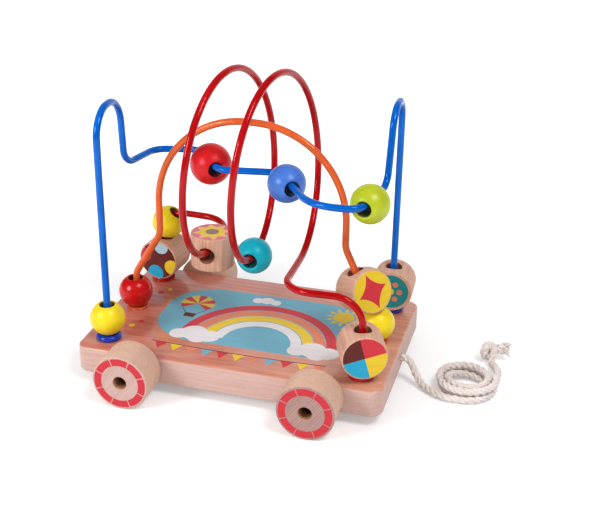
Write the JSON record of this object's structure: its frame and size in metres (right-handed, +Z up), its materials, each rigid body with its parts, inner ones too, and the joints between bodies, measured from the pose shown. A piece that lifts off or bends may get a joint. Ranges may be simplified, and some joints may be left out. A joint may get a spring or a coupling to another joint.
{
  "type": "pull toy",
  "caption": "Wooden pull-along bead maze: a wheeled board with bent coloured wires, sliding beads and printed discs, and a cotton pull rope with a knotted end.",
  "frame": {"origin": "on the floor under the middle of the board", "axes": "+X towards the end that the rope pulls, +Z up, +Y towards the toy's left side"},
  "size_m": [0.2942, 0.192, 0.2185],
  "materials": {
    "beech_wood": "satin lacquer over fine straight grain, with printed colour on the disc faces, the wheel faces and the deck",
    "steel": "plain",
    "blue_wire_coat": "glossy coat",
    "orange_wire_coat": "glossy coat",
    "red_wire_coat": "glossy coat",
    "blue_collar_plastic": "glossy",
    "orange_collar_plastic": "glossy",
    "red_collar_plastic": "glossy",
    "blue_paint": "semi-gloss lacquer paint",
    "green_paint": "semi-gloss lacquer paint",
    "red_paint": "semi-gloss lacquer paint",
    "teal_paint": "semi-gloss lacquer paint",
    "yellow_paint": "semi-gloss lacquer paint",
    "cotton_rope": "undyed twisted cotton"
  },
  "bodies": {
    "toy": {"axle_screw_front_left": "steel", "axle_screw_front_right": "steel", "axle_screw_rear_left": "steel", "axle_screw_rear_right": "steel", "base_board": "beech_wood", "blue_collar_front": "blue_collar_plastic", "blue_collar_rear": "blue_collar_plastic", "blue_wire": "blue_wire_coat", "orange_collar_front": "orange_collar_plastic", "orange_collar_rear": "orange_collar_plastic", "orange_wire": "orange_wire_coat", "red_collar_front": "red_collar_plastic", "red_collar_rear": "red_collar_plastic", "red_wire": "red_wire_coat", "rope_coil": "cotton_rope", "rope_end_knot": "cotton_rope", "rope_lead": "cotton_rope"},
    "bead_yellow_post": {"bead_yellow_post": "yellow_paint"},
    "bead_red_foot": {"bead_red_foot": "red_paint"},
    "bead_yellow_foot": {"bead_yellow_foot": "yellow_paint"},
    "bead_yellow_shoulder": {"bead_yellow_shoulder": "yellow_paint"},
    "bead_red_large": {"bead_red_large": "red_paint"},
    "bead_blue": {"bead_blue": "blue_paint"},
    "bead_green": {"bead_green": "green_paint"},
    "bead_teal": {"bead_teal": "teal_paint"},
    "disc_dots": {"disc_dots": "beech_wood"},
    "disc_quarters": {"disc_quarters": "beech_wood"},
    "disc_plain": {"disc_plain": "beech_wood"},
    "disc_star": {"disc_star": "beech_wood"},
    "disc_daisy": {"disc_daisy": "beech_wood"},
    "wheel_front_left": {"wheel_front_left": "beech_wood"},
    "wheel_front_right": {"wheel_front_right": "beech_wood"},
    "wheel_rear_left": {"wheel_rear_left": "beech_wood"},
    "wheel_rear_right": {"wheel_rear_right": "beech_wood"}
  },
  "joints": [
    {"name": "bead_yellow_post_slide", "type": "slide", "parent": "toy", "child": "bead_yellow_post", "axis": [0, 0, 1], "range_m": [0, 0.115]},
    {"name": "bead_red_foot_slide", "type": "slide", "parent": "toy", "child": "bead_red_foot", "axis": [0, 0, 1], "range_m": [0, 0.005]},
    {"name": "bead_yellow_foot_spin", "type": "hinge", "parent": "toy", "child": "bead_yellow_foot", "pos_m": [0.09151, 0, 0.0422], "axis": [-0.2406, 0, 0.9706], "continuous": true},
    {"name": "bead_yellow_shoulder_swing", "type": "hinge", "parent": "toy", "child": "bead_yellow_shoulder", "pos_m": [-0.072, 0.052, 0.06547], "axis": [0, 1, 0], "range_deg": [0, 54]},
    {"name": "bead_red_large_slide", "type": "slide", "parent": "toy", "child": "bead_red_large", "axis": [0.567, -0.8237, 0], "range_m": [-0.007, 0.0015]},
    {"name": "bead_blue_slide", "type": "slide", "parent": "toy", "child": "bead_blue", "axis": [0.5689, -0.8224, 0], "range_m": [0, 0.024]},
    {"name": "bead_green_slide", "type": "slide", "parent": "toy", "child": "bead_green", "axis": [0.1643, 0.9864, 0], "range_m": [0, 0.0095]},
    {"name": "bead_teal_swing", "type": "hinge", "parent": "toy", "child": "bead_teal", "pos_m": [0, 0, 0.13272], "axis": [1, 0, 0], "range_deg": [-60, 60]},
    {"name": "disc_dots_spin", "type": "hinge", "parent": "toy", "child": "disc_dots", "pos_m": [-0.09, 0.052, 0.0485], "axis": [0, 0, 1], "continuous": true},
    {"name": "disc_quarters_slide", "type": "slide", "parent": "toy", "child": "disc_quarters", "axis": [0, 0, 1], "range_m": [0, 0.0115]},
    {"name": "disc_plain_slide", "type": "slide", "parent": "toy", "child": "disc_plain", "axis": [0, 0, 1], "range_m": [0, 0.115]},
    {"name": "disc_star_slide", "type": "slide", "parent": "toy", "child": "disc_star", "axis": [-0.4204, 0, 0.9073], "range_m": [0, 0.019]},
    {"name": "disc_daisy_slide", "type": "slide", "parent": "toy", "child": "disc_daisy", "axis": [-0.0308, 0.9995, 0], "range_m": [0, 0.014]},
    {"name": "wheel_front_left_spin", "type": "hinge", "parent": "toy", "child": "wheel_front_left", "pos_m": [0.065, 0.0835, 0.02], "axis": [0, 1, 0], "continuous": true},
    {"name": "wheel_front_right_spin", "type": "hinge", "parent": "toy", "child": "wheel_front_right", "pos_m": [0.065, -0.0835, 0.02], "axis": [0, 1, 0], "continuous": true},
    {"name": "wheel_rear_left_spin", "type": "hinge", "parent": "toy", "child": "wheel_rear_left", "pos_m": [-0.065, 0.0835, 0.02], "axis": [0, 1, 0], "continuous": true},
    {"name": "wheel_rear_right_spin", "type": "hinge", "parent": "toy", "child": "wheel_rear_right", "pos_m": [-0.065, -0.0835, 0.02], "axis": [0, 1, 0], "continuous": true}
  ]
}
